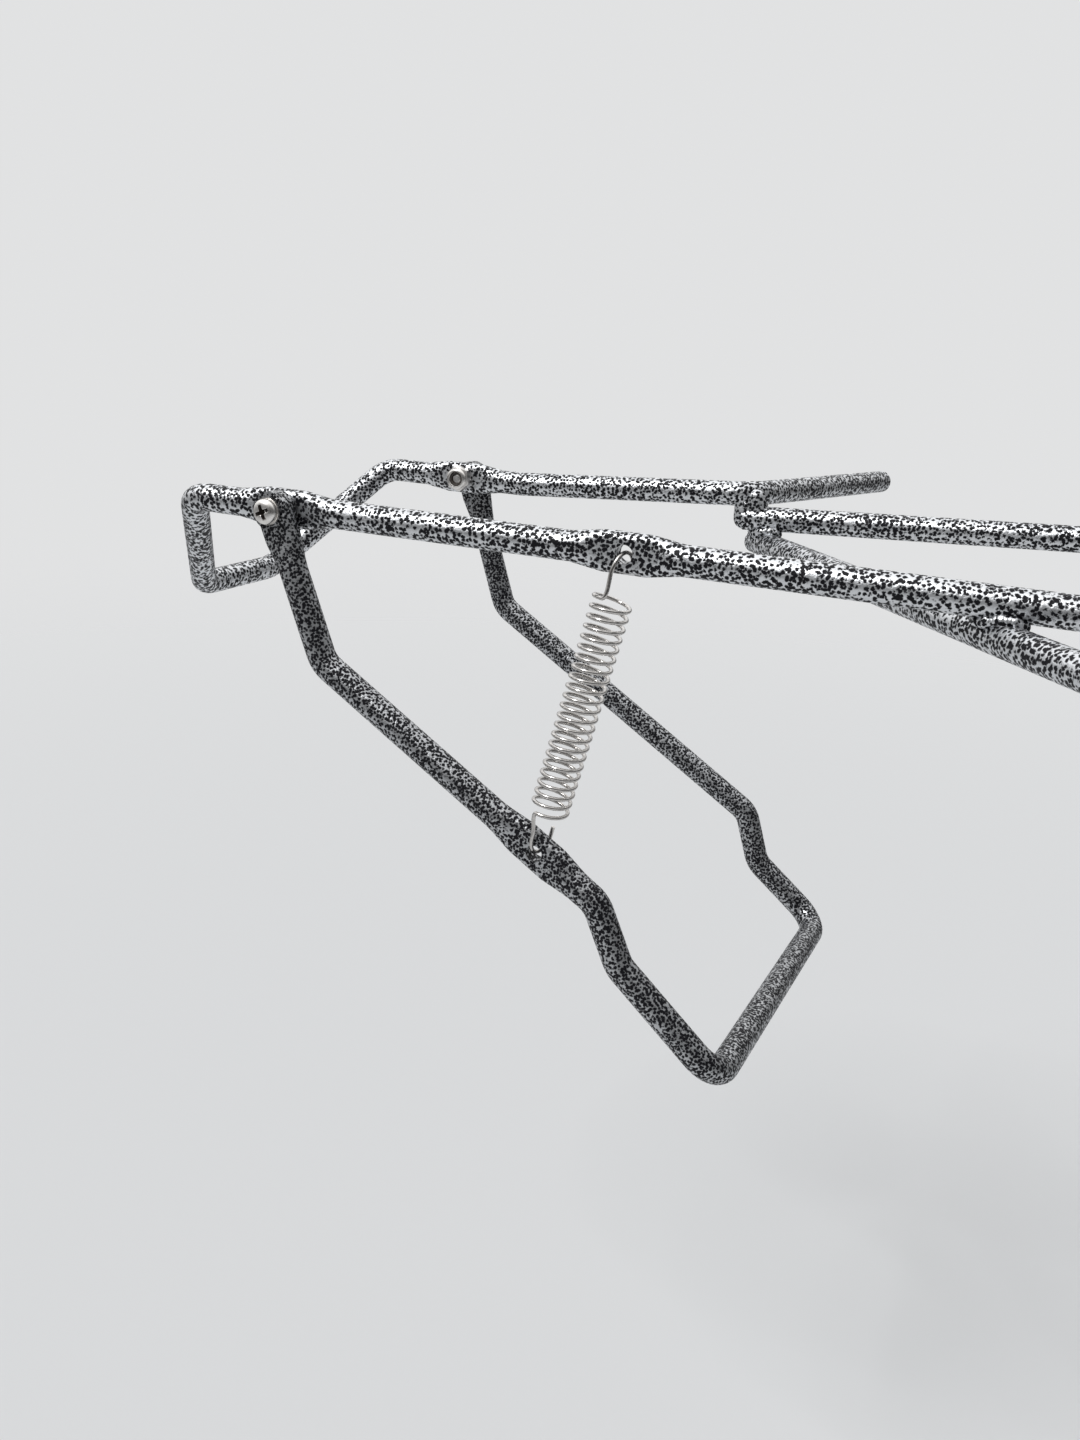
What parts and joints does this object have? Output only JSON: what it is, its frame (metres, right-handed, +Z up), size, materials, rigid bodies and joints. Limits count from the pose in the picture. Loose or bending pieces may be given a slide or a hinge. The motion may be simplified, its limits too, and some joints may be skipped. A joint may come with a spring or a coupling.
{
  "type": "bicycle wheel holder",
  "caption": "Sprung wheel holder of a bicycle stand: bent bar loop around the tyre, pivoting U-arm pulled by an extension spring, rear post clamp.",
  "frame": {"origin": "axis of the post in the middle of the rear clamp", "axes": "-X forward to the nose of the loop, +Y to the far side, +Z up along the post; the hinge axis runs along Y"},
  "size_m": [0.347, 0.2403, 0.1644],
  "materials": {
    "coated_steel": "hammered silver and black powder coat",
    "spring_steel": "bright drawn wire",
    "zinc_hardware": "bright zinc plate",
    "black_plastic": "matt moulded",
    "rubber": "matt"
  },
  "bodies": {
    "frame": {"brace_rod": "coated_steel", "carrier_rod": "coated_steel", "clamp_back": "coated_steel", "clamp_cap": "coated_steel", "cross_tube": "coated_steel", "far_clamp_bolt": "zinc_hardware", "far_clamp_nut": "zinc_hardware", "far_clamp_washer_back": "zinc_hardware", "far_clamp_washer_cap": "zinc_hardware", "far_lock_nut": "zinc_hardware", "far_pivot_screw": "zinc_hardware", "far_screw_washer": "zinc_hardware", "far_spacer_washer": "zinc_hardware", "far_tube_plug": "black_plastic", "liner_back": "rubber", "liner_cap": "rubber", "near_clamp_bolt": "zinc_hardware", "near_clamp_nut": "zinc_hardware", "near_clamp_washer_back": "zinc_hardware", "near_clamp_washer_cap": "zinc_hardware", "near_lock_nut": "zinc_hardware", "near_pivot_screw": "zinc_hardware", "near_screw_washer": "zinc_hardware", "near_spacer_washer": "zinc_hardware", "near_tube_plug": "black_plastic", "tension_spring": "spring_steel", "wheel_loop": "coated_steel"},
    "arm": {"sprung_arm": "coated_steel"}
  },
  "joints": [
    {"name": "arm_pivot", "type": "hinge", "parent": "frame", "child": "arm", "pos_m": [-0.262, 0, 0.004], "axis": [0, 1, 0], "range_deg": [-20, 25], "stiffness_Nm_per_rad": 1.2, "deforming": ["tension_spring"]}
  ]
}
